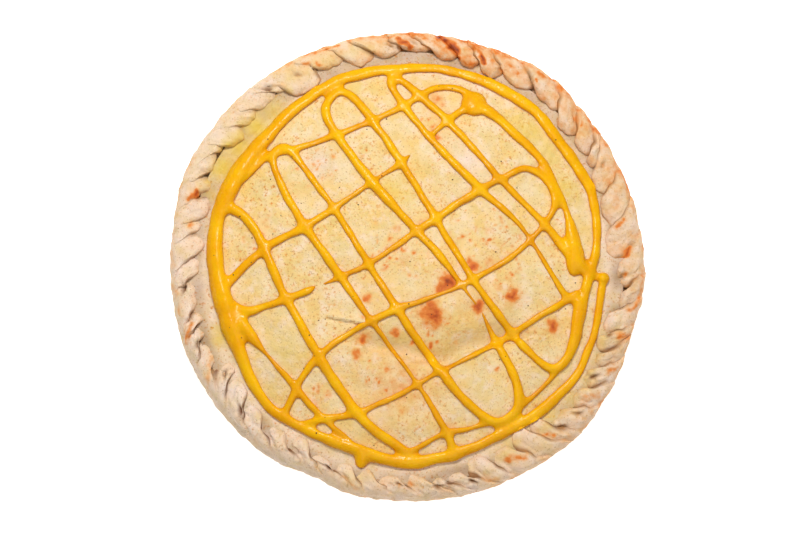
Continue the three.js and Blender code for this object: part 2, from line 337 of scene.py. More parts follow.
def rim_form(degrees):
    """Fullness, depth, start of the creases and warmth at an angle."""
    degrees = (degrees - RIM_FORMS[0][0]) % 360 + RIM_FORMS[0][0]
    for (low, *before), (high, *after) in zip(RIM_FORMS, RIM_FORMS[1:]):
        if degrees <= high:
            share = ease(degrees, low, high)
            return [a + share * (b - a) for a, b in zip(before, after)]


def column_shape(index):
    """Where a column of the strip lies in its pleat, and how it swells there."""
    pleat, step = divmod(index % COLUMNS, PLEAT_STEPS)
    start, tip = PLEATS[pleat]
    end = PLEATS[pleat + 1][0] if pleat + 1 < len(PLEATS) else PLEATS[0][0] + 360
    share = step / PLEAT_STEPS
    across = share - CROWDING * math.sin(2 * math.pi * share)
    fullness, depth, crease_start, _ = rim_form(start)
    fullness = min(max(fullness + FULLNESS_STRAY * uneven(pleat + 40), 0), 1)
    swell = math.sin(math.pi / 2 * min(across / FULL_FROM, 1)) ** (1.7 - 1.3 * fullness)
    lip = ease(across, LIP_FROM, 1.0)
    swell = 0.5 + depth * (swell * (1 - LIP_FALL * lip) - 0.5)
    overlap = lip - 0.5 * (1 - ease(across, 0, 0.1))
    tongue = 1 - abs(2 * across - 1) ** 3
    stray_lean = (1 - across) * uneven(pleat + 100) + across * uneven((pleat + 1) % len(PLEATS) + 100)
    return {
        "turn": start + (end - start) * across,
        "swell": swell,
        "overlap": overlap,
        "reach": TIP_RADIUS - tip + PLEAT_NOTCH * (0.4 + 0.6 * depth) * (tongue - 1),
        "depth": depth,
        "crease_start": crease_start,
        "edge": min(across, 1 - across) * (end - start) * MM_PER_DEGREE,
        "size": 1 + SIZE_STRAY * uneven(pleat),
        "lean": PLEAT_LEAN * (1 + LEAN_STRAY * stray_lean),
    }


columns = [column_shape(index) for index in range(COLUMNS + 1)]
print("depth of the pleats:", [round(column["depth"], 1) for column in columns[::PLEAT_STEPS]])

# %% [markdown]
# ## Tucks
# Where two pulls of the dough meet, a small deep tuck is left, with short wrinkles running into it. Each is
# read from the picture: its angle and radius, then how broad and how deep it is.

# %% Tucks and the place of each point
TUCKS = [
    (27, 147, 1.6, 2.0), (54, 145.5, 2.0, 3.0), (56, 151, 1.6, 2.0), (88, 151, 1.8, 1.6),
    (94, 149.5, 1.8, 2.4), (119.5, 148, 1.8, 2.2), (128, 151, 2.2, 2.4), (155, 149, 1.8, 2.2),
    (161, 145, 2.8, 3.4), (186, 150, 2.4, 2.8), (201, 149.5, 2.0, 2.6), (211, 140.5, 2.0, 2.6),
    (221.5, 147.5, 2.4, 3.0), (230, 145, 2.6, 3.2), (239, 145, 2.6, 3.2), (249, 145, 2.4, 2.6),
    (268, 145, 1.8, 2.6), (278, 149.5, 1.8, 2.6), (281, 147.5, 1.8, 2.4), (287, 150, 2.0, 2.8),
    (313.5, 149, 2.4, 3.4), (319, 150, 1.8, 2.4), (329, 144, 2.0, 3.0), (341, 141.5, 1.8, 2.4),
    (357, 144, 2.2, 2.4),
]
HEART_RADIUS = OUTER_RADIUS - 14  # the line inside the rim that the dough swells away from
HEART_HEIGHT = RIM_CREST - 11
TUCK_STRENGTH = 1.35
TUCK_TURN = 5  # degrees on either side within which a tuck is felt
TUCK_LONG = 1.5  # times its breadth, along the crease
TUCK_NARROW = 0.7  # times its breadth, across the crease
WRINKLES = 5  # round each tuck
WRINKLE_DEPTH = 0.4
CREASE_BREADTH = 1.0
CREASE_WAY = (0.75, 0.66)  # sideways and outwards
COLUMN_WAVE = 1.6  # degrees that a crease wavers
FINE_SWELL = 0.7
FINER_SWELL = 0.4
PULL_SWELL = 0.55  # of the lumps that are drawn out along a pleat
BROAD_SWELL = 1.1


def turn_at(column, lean_share, radius):
    """The angle of a point of a column, which leans and wavers on its way over the crest."""
    wave = COLUMN_WAVE * grain(column["turn"] * MM_PER_DEGREE, 2 * radius, 60, 12)
    return column["turn"] + column["lean"] * (1 - lean_share) + wave * 4 * lean_share * (1 - lean_share)


def tuck_depth(degrees, radius):
    """How deep the tucks are at a point. A tuck is longer along the crease than across it."""
    depth = 0
    sideways, outwards = CREASE_WAY
    for angle, out, breadth, deep in TUCKS:
        turn = turn_between(degrees, angle)
        if abs(turn) > TUCK_TURN:
            continue
        side, rise = turn * MM_PER_DEGREE, radius - out
        along = sideways * side + outwards * rise
        across = outwards * side - sideways * rise
        depth += TUCK_STRENGTH * deep * bell(math.hypot(along / TUCK_LONG, across / TUCK_NARROW), breadth)
        rays = math.cos(WRINKLES * math.atan2(rise, side) + angle)
        depth += WRINKLE_DEPTH * rays * bell(math.hypot(side, rise) - 1.8 * breadth, 1.5 * breadth)
    return depth


def fold_place(column, row):
    """Where the fold carries one point of the strip, in millimetres."""
    radius, height, lean_share, swell_share, reach_share, slope_share = row
    turn = turn_at(column, lean_share, radius)
    plain = slope_share * max(0, math.cos(math.radians(turn - PLAIN_SIDE))) ** 2
    out_radius, out_height = radius - HEART_RADIUS, height - HEART_HEIGHT
    away = math.hypot(out_radius, out_height)
    out_radius, out_height = out_radius / away, out_height / away
    begun = ease(lean_share, column["crease_start"] - 0.35, column["crease_start"] + 0.3)
    swell = PLEAT_SWELL * (column["size"] * column["swell"] - 0.5) * swell_share * begun * (1 - 0.2 * plain)
    fold = column["turn"] * MM_PER_DEGREE
    reach = reach_share * (column["reach"] + 1.6 * grain(fold, 0, 30, 6))
    swollen = radius + stray(turn) * (1 - reach_share)
    if swell_share > 0.01:
        x, y = round_place(turn, swollen)
        fine = FINE_SWELL * grain(x, y, height, 7) + FINER_SWELL * grain(x, y, height + 30, 3)
        swell += fine * ease(swell_share, 0, 0.3)
        swell += swell_share * PULL_SWELL * grain(fold * 4.2, 0.5 * swollen, 0.5 * height, 9)
        swell += swell_share * BROAD_SWELL * grain(x, y, height, 15)
        swell -= ease(lean_share, 0.2, 0.5) * tuck_depth(turn, swollen - reach)
    out = swollen + out_radius * swell - reach - PLAIN_SLOPE * plain
    lift = reach_share * (lid_height(out, 0) - LID_EDGE if out < LID_RADIUS else 0)
    angle = math.radians(turn) + PLEAT_OVERLAP * column["overlap"] * swell_share * begun / radius
    return out * math.cos(angle), out * math.sin(angle), height + out_height * swell + lift


def painted_crease_shade(column, row):
    """How deep in a crease or tuck a point lies, and the shadow line under each tip, from 0 to 1, which the
    material darkens as painted shade.
    """
    radius, height, lean_share, swell_share, reach_share, _ = row
    turn = turn_at(column, lean_share, radius)
    begun = ease(lean_share, column["crease_start"], column["crease_start"] + 0.5)
    line = bell(column["edge"], CREASE_BREADTH) * begun * (0.35 + 0.65 * column["depth"])
    shadow_under_tip = 0.6 * ease(LID_EDGE + 1.8 - height, 0, 2) if reach_share > 0.9 else 0
    tuck = 0
    if lean_share > 0.3:
        tuck = tuck_depth(turn, radius + stray(turn) - reach_share * column["reach"]) / 3
    return min(max(line * column["size"], shadow_under_tip, tuck, 0), 1)


print("one point of the crest, in mm:", [round(v, 1) for v in fold_place(columns[12], rows[40])])

# %% [markdown]
# ## Lay the strip
# The strip is Blender's grid primitive, one square long and one broad. Its columns and rows are read back
# from where its points lie, and each point goes to its place in the fold. The ends of the strip meet, and
# its two long edges close at the middle of the pizza, so merging what coincides makes one closed skin.

# %% Make the bottom sheet


def add_grid(name, across, along):
    """A flat square metre of so many cells, to be given its shape point by point."""
    bpy.ops.object.select_all(action="DESELECT")
    bpy.ops.mesh.primitive_grid_add(x_subdivisions=across, y_subdivisions=along, size=1)
    piece = bpy.context.object
    piece.name = piece.data.name = name
    return piece


def merge_and_smooth(piece, distance=1e-6):
    """Merges points that coincide, turns every face outwards and shades the piece smooth."""
    bpy.ops.object.select_all(action="DESELECT")
    bpy.context.view_layer.objects.active = piece
    piece.select_set(True)
    bpy.ops.object.mode_set(mode="EDIT")
    bpy.ops.mesh.select_all(action="SELECT")
    bpy.ops.mesh.remove_doubles(threshold=distance)
    bpy.ops.mesh.normals_make_consistent(inside=False)
    bpy.ops.object.mode_set(mode="OBJECT")
    bpy.ops.object.shade_smooth()


bottom_sheet = add_grid("bottom_sheet", COLUMNS, len(rows) - 1)
painted_shades = []
for vertex in bottom_sheet.data.vertices:
    column = columns[round((vertex.co.x + 0.5) * COLUMNS) % COLUMNS]
    row = rows[round((vertex.co.y + 0.5) * (len(rows) - 1))]
    painted_shades.append(painted_crease_shade(column, row))
    vertex.co = Vector(fold_place(column, row) if row[0] else (0, 0, row[1])) * MM
# the crease layer holds painted shade: in the creases, in the tucks and a shadow line under each tip
paint(bottom_sheet, "crease", painted_shades)
merge_and_smooth(bottom_sheet)
keep_inside(bottom_sheet)

# %% [markdown]
# ## Where the rim is toasted
# The oven browns what stands up: the crests of the rolls at the top right, the ridges at the lower right,
# and a thin line along the outline. The lower left stayed pale. Each stroke has two ends, given by angle
# and radius, then its breadth and depth. Oil from the filling left a yellow stain on some tips.

# %% Paint the bottom sheet
RIM_TOAST = [  # angle and radius of both ends, then breadth and depth
    (2.3, 145, 4.3, 149, 2.2, 0.62), (10.2, 142, 11.8, 147, 2.2, 0.5), (13, 156, 24, 155, 2.0, 0.26),
    (20, 152, 21, 148, 1.6, 0.22), (28.8, 143, 28.8, 143, 1.4, 0.2), (33, 155, 40, 156, 2.2, 0.3),
    (38.6, 150, 39.5, 153, 1.6, 0.45), (41, 156, 50, 158, 2.2, 0.34), (54.8, 151.5, 55.2, 152, 1.3, 0.85),
    (53, 158, 60, 159, 2.2, 0.3), (59.3, 148, 59.8, 149, 1.6, 0.45), (61, 151, 69, 156, 2.0, 0.34),
    (69, 146, 70.6, 150, 2.0, 0.88), (71, 152, 74.5, 157, 1.7, 0.6), (75.5, 143, 75.7, 144, 1.2, 0.8),
    (76.5, 148, 82, 157, 3.2, 0.95), (83, 152, 87, 156, 2.2, 0.42), (89, 148, 92, 152, 2.4, 0.8),
    (93, 155, 97, 156, 1.8, 0.45), (107, 156, 115, 157.5, 1.8, 0.42), (113.2, 147, 113.6, 148, 1.8, 0.6),
    (115.6, 151, 117, 153, 1.7, 0.42), (119, 157, 124, 158, 2.0, 0.3), (124, 146, 126, 150, 2.0, 0.2),
    (153, 159, 156, 160, 2.2, 0.24), (160.8, 147.5, 163, 151.5, 2.0, 0.78), (160, 160, 165, 159, 2.2, 0.24),
    (169.3, 145, 169.7, 146, 2.0, 0.42), (171, 157, 174, 156, 2.2, 0.16), (177, 157, 180, 155, 2.4, 0.26),
    (185, 156, 187, 153, 2.4, 0.24), (190.5, 153, 191.5, 154, 1.8, 0.28), (195.5, 147, 199, 154, 1.9, 0.42),
    (205.5, 143, 212, 155, 2.0, 0.26), (229, 153, 231, 156, 2.4, 0.14), (254, 145, 257.5, 151, 2.0, 0.24),
    (268.3, 145, 268.4, 145.5, 1.3, 0.42), (271, 143, 271.5, 144, 2.0, 0.3),
    (290, 149, 293, 153, 2.4, 0.26), (297, 144, 301.8, 149, 2.4, 0.5), (308.5, 142, 310.8, 148, 2.4, 0.4),
    (318, 152, 319, 157, 2.4, 0.2), (323.5, 147, 325.5, 153, 2.8, 0.38), (332.3, 151, 334, 156, 2.6, 0.36),
    (341.3, 147, 342.5, 155, 3.0, 0.4), (348, 149, 350.5, 156, 2.6, 0.38), (351, 157, 359, 158, 2.4, 0.36),
    (357.5, 145, 358, 146, 1.8, 0.4),
]
RIM_STAIN = [  # the same
    (98, 147, 108, 149, 5, 0.35), (110, 148, 122, 148, 6, 0.45), (124, 141, 134, 138, 5, 0.6),
    (136, 140, 146, 141, 6, 0.9), (146, 143, 156, 141, 6, 1.0), (199, 134, 206, 132, 4, 0.7),
    (296, 141, 302, 138, 4, 0.5), (309, 141, 322, 141, 4, 0.6), (325, 142, 340, 139, 4, 0.6),
    (255, 144, 262, 142, 4, 0.35), (275, 141, 286, 138, 4, 0.3), (20, 134, 24, 136, 3, 0.25),
    (340, 148, 346, 146, 3, 0.3),
]
FLOOR_TOAST = 0.34  # how brown the underside is
WARMTH_STRAY = 0.9  # how patchy the warmth of a region is
WALL_WARMTH = 0.8  # how much warmer the wall is than the crest


def round_spots(spots):
    """The same spots with their ends in x and y."""
    return [(*round_place(a, r), *round_place(b, s), breadth, depth) for a, r, b, s, breadth, depth in spots]


def paint_rim(piece):
    """Paints toast and stain. Each region's warmth is a faint patchy toast, deeper on the wall."""
    toast_squares = spots_near(round_spots(RIM_TOAST))
    stain_squares = spots_near(round_spots(RIM_STAIN))
    toast, stain_and_shade = [], []
    for vertex in piece.data.vertices:
        x, y, z = vertex.co / MM
        upper = ease(z, 9, 15)
        under = 1 - ease(z, 0.5, 5)
        warmth = rim_form(math.degrees(math.atan2(y, x)))[-1] * (1 + WARMTH_STRAY * grain(x, y, z, 8))
        wall = 1
        if z > 4:
            wall += WALL_WARMTH * ease(math.hypot(x, y), OUTER_RADIUS - 5, OUTER_RADIUS)
        toast.append(max(upper * spot_depth(x, y, toast_squares), warmth * wall, under * FLOOR_TOAST))
        stain_and_shade.append(upper * spot_depth(x, y, stain_squares))
    paint(piece, "toast", toast)
    paint(piece, "stain_and_shade", stain_and_shade)


paint_rim(bottom_sheet)

# %% [markdown]
# ## The top sheet
# The top sheet is thin dough that sank and rose over the pieces of chicken under it. It starts as a square
# grid too, because a grid keeps its squares even where a fan of triangles would crowd in the middle. The
# square is rounded into a disc, its border is extruded down, and every point of the top goes up to the
# height of the filling below. One soft crease shows where the sheet sagged, and one short sharp wrinkle
# lies left of it. Near the rim the sheet climbs to meet the pleats where they are pressed flat.

# %% Shape of the top sheet
SHEET_RADIUS = 145
SHEET_CELLS = 290
SHEET_BOTTOM = 9  # height of its hidden flat side
SAG_LINE = [  # places on the crease, from left to right
    (-24, -55), (-5, -58), (10, -63), (26, -65), (36, -57.5), (57, -51.5), (70, -50),
]
SAG_DEPTH = 5.6
SAG_ABOVE = 11  # how far it slopes on the upper side
SAG_BELOW = 3  # and on the lower side, which is steep
SAG_MIDDLE = -55  # its middle's y
SAG_REACH = 26  # how far above and below that it is felt
BROAD_LUMP = 1.6
SMALL_LUMP = 0.7
MARGIN_FOOT = 131  # radius where the sheet begins to climb towards the tips
MARGIN_TOP = 141
MARGIN_RISE = 2.4  # how far it climbs where the pleats are pressed flat
FOLD = (-50, -35.5, -28, -39.5)  # the ends of the one sharp wrinkle
FOLD_BREADTH = 2.4
FOLD_REACH = 12
FOLD_RISE = 2.3
FOLD_FALL = 1.1
STRETCHED = [(92, 78, 30, 1), (-95, 88, 26, 0.7)]  # x, y, spread and strength where the dough was pulled
STRETCH_RISE = 0.9


def sag_at(x, y):
    """How far a point lies from the crease, less than nothing on its lower side."""
    away = [(from_stroke(x, y, (*a, *b)), a, b) for a, b in zip(SAG_LINE, SAG_LINE[1:])]
    nearest, (ax, ay), (bx, by) = min(away)
    return nearest if (x - ax) * (by - ay) < (y - ay) * (bx - ax) else -nearest


def sheet_height(x, y):
    """The top sheet with its middling lumps and the crease, which the sauce lies on too."""
    out = min(math.hypot(x, y) / LID_RADIUS, 1)
    fade = 1 - out**8
    lumps = BROAD_LUMP * grain(x, y, 0, 24) + SMALL_LUMP * grain(x, y, 40, 11)
    if abs(y - SAG_MIDDLE) < SAG_REACH:
        sag = sag_at(x, y)
        lumps -= SAG_DEPTH * bell(sag, SAG_ABOVE if sag > 0 else SAG_BELOW)
    margin = ease(math.hypot(x, y), MARGIN_FOOT, MARGIN_TOP)
    if margin:
        margin *= MARGIN_RISE * (1 - rim_form(math.degrees(math.atan2(y, x)))[0])
    return lid_height(x, y) + fade * lumps + margin


def sheet_detail(x, y):
    """The sharp wrinkle, the streaks where the dough was pulled, and the fine grain of the baked skin."""
    rise = 0.2 * grain(x, y, 0, 4) + 0.1 * grain(x, y, 9, 1.9)
    fold = from_stroke(x, y, FOLD)
    if fold < FOLD_REACH:
        ax, ay, bx, by = FOLD
        above = (x - ax) * (by - ay) < (y - ay) * (bx - ax)
        rise += FOLD_RISE * bell(fold, FOLD_BREADTH) * (1.2 if above else 0.5)
        if not above:
            rise -= FOLD_FALL * bell(fold - 1.3, 1.2)
    pulled = 0
    for middle_x, middle_y, spread, strength in STRETCHED:
        pulled += strength * bell(math.hypot(x - middle_x, y - middle_y), spread)
    if pulled > 0.02:
        rise += STRETCH_RISE * pulled * grain(x * 0.9 - y * 0.7, (x + y) * 0.25, 5, 5)
    return rise


def make_top_sheet():
    """Rounds a grid into a disc, lays it over the filling and closes it below."""
    piece = add_grid("top_sheet", SHEET_CELLS, SHEET_CELLS)
    for vertex in piece.data.vertices:
        u, v = 2 * vertex.co.x, 2 * vertex.co.y
        x = SHEET_RADIUS * u * math.sqrt(1 - v * v / 2)
        y = SHEET_RADIUS * v * math.sqrt(1 - u * u / 2)
        vertex.co = (x * MM, y * MM, (sheet_height(x, y) + sheet_detail(x, y)) * MM)
    bpy.ops.object.mode_set(mode="EDIT")
    bpy.ops.mesh.select_all(action="SELECT")
    bpy.ops.mesh.region_to_loop()
    bpy.ops.mesh.extrude_region_move()
    bpy.ops.transform.resize(value=(1, 1, 0))
    bpy.ops.object.mode_set(mode="OBJECT")
    for vertex in piece.data.vertices:
        if vertex.select:
            vertex.co.z = SHEET_BOTTOM * MM
    bpy.ops.object.mode_set(mode="EDIT")
    bpy.ops.mesh.edge_face_add()
    bpy.ops.object.mode_set(mode="OBJECT")
    merge_and_smooth(piece)
    keep_inside(piece)
    return piece


top_sheet = make_top_sheet()

# %% [markdown]
# ## Where the top sheet is toasted
# The highest lumps of the filling browned most. Around them lie orange freckles, and nearer the rim oil has
# soaked through in yellow patches. Each spot is a place in millimetres, its breadth and its depth. The spots
# that catch the eye are placed one by one, and the freckles are strewn about the places that have them.
# Shade is painted too: where the sheet runs in under the tips and beside its soft crease. The olive of the
# oil stains is also painted as shade above that crease and in one hollow.

# %% Paint the top sheet
SHEET_TOAST = [  # x, y, breadth and depth
    (45, -25, 30, 0.15), (18, -38, 26, 0.15), (85, -40, 16, 0.12), (-28, -60, 24, 0.12), (0, 6, 18, 0.08),
    (-4, -80, 30, 0.25), (22, 100, 14, 0.14), (60, 8, 18, 0.1), (-20, -20, 18, 0.09), (27, -13, 6.5, 0.78),
    (23, -16, 4.5, 0.7), (18, -35, 8, 0.72), (15, -31, 8, 0.6), (47, -28, 5, 0.8), (44, -2, 3.6, 0.75),
    (42, 1, 3.2, 0.55), (70, -21, 4.6, 0.85), (97, -41, 3.6, 0.9), (95, -39, 3.4, 0.6), (-7, -45, 3.2, 0.7),
    (-13, -3, 2.6, 0.45), (-26, -23, 3.4, 0.6), (-28.5, -48.5, 4.6, 0.62), (-29, -51, 2.6, 0.7),
    (-32, -60, 4.2, 0.5), (21, 112, 5, 0.4), (24, 108, 3, 0.35), (21, 84, 3.4, 0.6), (18, 88, 3, 0.4),
    (16, -54, 2.2, 0.75), (4, -52, 2, 0.65), (9, -53, 1.6, 0.5), (-13, -70, 2, 0.55), (60, -69, 1.8, 0.55),
    (-7, 23, 2.6, 0.3), (-20, 27, 2.2, 0.3), (10, 27, 3, 0.3), (37, 18, 1.8, 0.6), (46, 23, 1.8, 0.3),
    (54, 22, 3, 0.3), (55, 1, 4, 0.35), (74, -4, 3, 0.3), (60, -16, 4, 0.35), (-3, -97, 3, 0.35),
    (29, -107, 4, 0.3), (52, -20, 2, 0.4), (66, -9, 2, 0.35), (31, 12, 1.6, 0.4), (-20, -76, 2.2, 0.35),
    (-10, -78, 2, 0.4), (-18, -68, 1.6, 0.4), (-8, -84, 2.4, 0.3), (-28, -35, 2.4, 0.3), (-1, 2, 5, 0.22),
    (33, -52, 2.5, 0.3), (-60, -92, 4, 0.3), (-52, -86, 4, 0.25), (-93, 28, 2.5, 0.25), (100, -62, 2, 0.2),
    (87, 30, 2, 0.25),
]
# oil stains, but the spots along the soft crease and the one at (-10, 51) are painted olive shade in hollows
SHEET_STAIN_AND_SHADE = [  # the same
    (-122, 66, 13, 1.0), (-112, 80, 13, 1.0), (-100, 93, 12, 1.0), (-90, 104, 11, 0.8), (83, 90, 11, 0.8),
    (96, 76, 10, 0.65), (108, 52, 9, 0.6), (-130, 48, 7, 0.6), (-123, -47, 8, 0.8), (-36, 121, 8, 0.6),
    (66, 56, 10, 0.3), (-80, -57, 12, 0.4), (-70, -44, 10, 0.25), (-6, 46, 13, 0.5), (-6, -49, 9, 0.5),
    (11, -54, 9, 0.5), (27, -57, 8, 0.45), (46, -46, 8, 0.35), (62, -44, 7, 0.3), (-100, 100, 9, 0.4),
    (72, 100, 8, 0.4), (-55, 95, 12, 0.2), (-75, 60, 12, 0.2), (118, 22, 7, 0.3), (-44, 74, 8, 0.3),
    (50, -118, 7, 0.3), (-120, 30, 6, 0.25), (112, -100, 6, 0.3), (-90, -84, 8, 0.3), (67, -119, 9, 0.5),
    (95, -99, 9, 0.65), (109, -88, 8, 0.6), (121, -76, 8, 0.55), (127, -62, 8, 0.5), (132, -44, 7, 0.4),
    (-10, 51, 8, 0.6),
]
SHEET_PALE = [  # the same
    (42, 68, 11, 1.0), (-58, 67, 12, 1.0), (-48, -18, 12, 0.35), (34, 78, 8, 0.4), (60, 40, 10, 0.3),
    (-88, -66, 9, 0.4), (0, 128, 12, 0.3),
]
MARGIN_START = 124  # radius from which the sheet grows as pale and pink as the rim
MARGIN_PALE = 134  # radius where it is
MARGIN_PALENESS = 0.75
TIP_SHADE_START = 132  # radius from which the tips of the pleats shade the sheet
TIP_SHADE_END = 141
TIP_SHADE = 0.38
TIP_SHADE_STRAY = 0.35
SAG_SHADE = 0.17
SAG_SHADE_BREADTH = 5
SAG_SHADE_BOX = (-45, 90, -70, -30)  # its lowest and highest x, then its lowest and highest y
FRECKLED = [  # x, y, spread and count of freckles
    (-3, 8, 20, 60), (-17, -73, 12, 34), (18, 92, 10, 22), (53, 14, 26, 44), (68, -12, 13, 26),
    (-58, -86, 9, 22), (-60, 66, 16, 24), (-95, 20, 14, 20), (20, -35, 18, 30),
]


def freckles():
    """Small spots strewn about the freckled places, closest together in their middle."""
    spots = []
    for place, (x, y, spread, count) in enumerate(FRECKLED):
        for number in range(place * 1000, place * 1000 + 5 * count, 5):
            away = spread * abs(uneven(number))
            angle = math.pi * uneven(number + 1)
            breadth = 1.2 + 0.5 * uneven(number + 2)
            depth = 0.36 + 0.2 * uneven(number + 3)
            spots.append((x + away * math.cos(angle), y + away * math.sin(angle), breadth, depth))
    return spots


def paint_sheet(piece):
    """Paints toast, oil stain that also holds some painted olive shade, pale patches and the painted shade
    in the creases.
    """
    layers = {}
    for name, spots in (("toast", SHEET_TOAST + freckles()), ("stain_and_shade", SHEET_STAIN_AND_SHADE), ("pale", SHEET_PALE)):
        layers[name] = spots_near([(x, y, x, y, breadth, depth) for x, y, breadth, depth in spots])
    low_x, high_x, low_y, high_y = SAG_SHADE_BOX
    values = {name: [] for name in (*layers, "crease")}
    for vertex in piece.data.vertices:
        x, y, _ = vertex.co / MM
        for name, squares in layers.items():
            values[name].append(spot_depth(x, y, squares))
        margin = ease(math.hypot(x, y), MARGIN_START, MARGIN_PALE)
        values["pale"][-1] = max(values["pale"][-1], MARGIN_PALENESS * margin)
        under_tips = ease(math.hypot(x, y), TIP_SHADE_START, TIP_SHADE_END)
        shade = under_tips * (TIP_SHADE + TIP_SHADE_STRAY * grain(x, y, 0, 14))
        shade *= 1 - 0.8 * values["stain_and_shade"][-1]  # oil makes the dough glow, so it shows less shade
        if low_x < x < high_x and low_y < y < high_y:
            shade += SAG_SHADE * bell(sag_at(x, y) - SAG_SHADE_BREADTH, SAG_SHADE_BREADTH)
        # on the top sheet the crease layer holds painted shade under the tips and beside the soft crease
        values["crease"].append(shade)
    for name, numbers in values.items():
        paint(piece, name, numbers)


paint_sheet(top_sheet)

# %% [markdown]
# ## The cream sauce
# The sauce came out of a bottle's nozzle in one long bead after another. Each bead is a path curve with a
# round bevel, thick where the hand slowed down and thin where it tore off, and it wavers a little as the
# hand did. Curves alone would only pass through each other at the crossings. So the beads become meshes,
# are joined, and a voxel remesh makes one skin of them. Swelling that skin, remeshing it and shrinking it
# again leaves a soft web in every corner, as thick sauce does. All this is done flat, as if on a table.
# Then the whole skin is laid on the dough, point by point.

# %% The course of the sauce
RING_START = -3.5  # degrees
RING_TURN = -14.6
RING = [  # radius and width, at even turns
    (131.2, 6.4), (132, 5.8), (134, 6), (131, 7.8), (128, 6.8), (129, 7.8), (130, 8.4), (126, 7.8),
    (127, 6.7), (130, 7.4), (125, 9), (123, 12.4), (126, 11.6), (129, 10.2), (128, 12), (127, 10), (130, 8),
    (133, 8), (133, 7.2), (135, 6.6), (135, 8), (135, 7.8), (132, 8), (133, 7.2), (127, 6.2), (120, 8),
]
STRANDS = [  # x, y and width at each change of course
    [(-110, -38, 10), (-99, -51, 6.7), (-92, -59, 3.4), (-73, -81, 5.6), (-59, -97, 4.7), (-36, -117, 4)],
    [(-123, 41, 8), (-108, 33, 6.4), (-95, 13, 6.7), (-79, -23, 6), (-32, -98, 7.4), (2, -125, 6)],
    [(31, -123, 6.7), (27, -112, 6), (8, -80, 3.6), (-22, -39, 4.2), (-43, -9, 6), (-67, 25, 6),
     (-82, 51, 6), (-89, 72, 6), (-82, 79, 6.7), (-72, 70, 5.4), (-48, 37, 4.9), (-6, -30, 5.6),
     (22, -70, 6.4), (43, -94, 6.4), (60, -104, 6.7), (73, -96, 6.7), (73, -80, 6.7), (60, -52, 5.4),
     (49, -32, 2.2)],
    [(46, -28, 2.2), (22, 5, 5.7), (7, 21, 5.4), (-22, 54, 7), (-47, 88, 6), (-54, 106, 6.7), (-44, 117, 6),
     (-32, 109, 6.4), (-3, 67, 5.7), (43, -9, 5.4), (70, -46, 6), (83, -60, 6), (97, -69, 6.4),
     (107, -61, 6.7), (112, -46, 8.4), (115, -24, 9)],
    [(115, -24, 6.7), (105, -20, 5.4), (82, 17, 3.4), (69, 32, 4.7), (49, 49, 6), (15, 85, 5.7),
     (-3, 109, 5.7), (-11, 125, 5.4), (-4, 125, 5.7), (11, 112, 6), (28, 96, 5.7), (62, 57, 5),
     (93, 25, 5.7), (110, 4, 8)],
    [(50, 106, 8), (57, 102, 7.6), (69, 91, 6.7), (90, 70, 6.4), (100, 51, 5.4), (107, 35, 5),
     (111, 17, 9.4), (113, 3, 9.4), (121, -8, 6.4), (118, -22, 7), (114, -38, 7.8)],
    [(-119, 49, 7.4), (-106, 61, 6), (-91, 73, 5.4), (-71, 78, 5), (-22, 96, 4.7), (-3, 106, 5),
     (20, 119, 5.4), (36, 118.5, 5.4), (46, 110, 7), (35, 102, 5.4), (15, 85, 3.4)],
    [(3, 73, 2), (-3, 67, 5), (-17, 58, 3.4), (-48, 36, 5), (-67, 24, 6), (-93, 11, 5.4), (-119, -13, 7)],
    [(-118, -25, 8), (-106, -31, 7.4), (-93, -28, 5.4), (-64, -18, 5.4), (-59, -15, 2)],
    [(-55, -14, 2), (-43, -9, 4), (-24, 0, 4), (20, 30, 5.7), (49, 49, 5.4), (63, 57, 4.7), (80, 64, 5.4),
     (94, 56, 6), (99, 42, 6), (92, 27, 4.4), (70, 5, 4.4), (45, -10, 4.7), (22, -21, 3.6), (-6, -30, 5.4),
     (-37, -46, 4.7), (-58, -61, 5.4), (-68, -74, 5.4), (-80, -98, 5.4)],
    [(-70, -106, 5.4), (-56, -102, 5.4), (-32, -98, 4.7), (-5, -86, 4.4), (22, -71, 4), (60, -52, 4.7),
     (89, -34, 4.7), (114, -19, 6)],
    [(-1, -126, 5.4), (16, -116, 4), (29, -110, 4.7), (42, -108, 3.7), (56, -104, 4.7)],
    [(100, -70, 4), (92, -79, 3.7), (74, -95, 4.7)],
]
POOLS = [  # x, y, width, length and turn in degrees
    (131.2, -8.6, 8.8, 8.8, 0), (45.5, 108.5, 18, 18, 0), (-29, -127, 10, 15, 80), (-114, -36, 16, 24, 115),
    (112, 4, 13, 24, 85),
]
POOL_HEIGHT = 6
SAUCE_LIFT = 0.1  # height of a bead's middle above the dough, as a share of its width
BEAD_STEP = 1.5  # millimetres between the points of a bead
BEAD_FULLNESS = 1.14  # makes up for what smoothing takes away
BEAD_SPREAD = 0.7  # millimetres that the web adds to the width
WIDTH_STRAY = 0.16  # how much the width swells and thins, slowly
PULSE_STRAY = 0.09  # and in short pulses
HAND_STRAY = 0.7  # millimetres that the hand wandered


def bead_course(points):
    """Points at even steps on a smooth course, each with its width."""
    length = sum(math.dist(a[:2], b[:2]) for a, b in zip(points, points[1:]))
    return smooth_way(points, round(length / BEAD_STEP))


def add_bead(points):
    """One bead of sauce through its points, as a mesh."""
    bpy.ops.curve.primitive_nurbs_path_add()
    bead = bpy.context.object
    course = bead_course(points)
    path = bead.data.splines[0]
    path.points.add(len(course) - len(path.points))
    for point, (x, y, width) in zip(path.points, course):
        width = BEAD_FULLNESS * width - BEAD_SPREAD
        width *= 1 + WIDTH_STRAY * grain(x, y, 70, 9) + PULSE_STRAY * grain(x, y, 20, 3.5)
        x, y = x + HAND_STRAY * grain(x, y, 90, 13), y + HAND_STRAY * grain(x, y, 130, 13)
        point.co = (x * MM, y * MM, SAUCE_LIFT * width * MM, 1)
        point.radius = width / 2
    path.use_endpoint_u = True
    path.resolution_u = 2
    bead.data.bevel_depth = MM
    bead.data.bevel_resolution = 3
    bead.data.use_fill_caps = True
    bpy.ops.object.convert(target="MESH")
    return bead


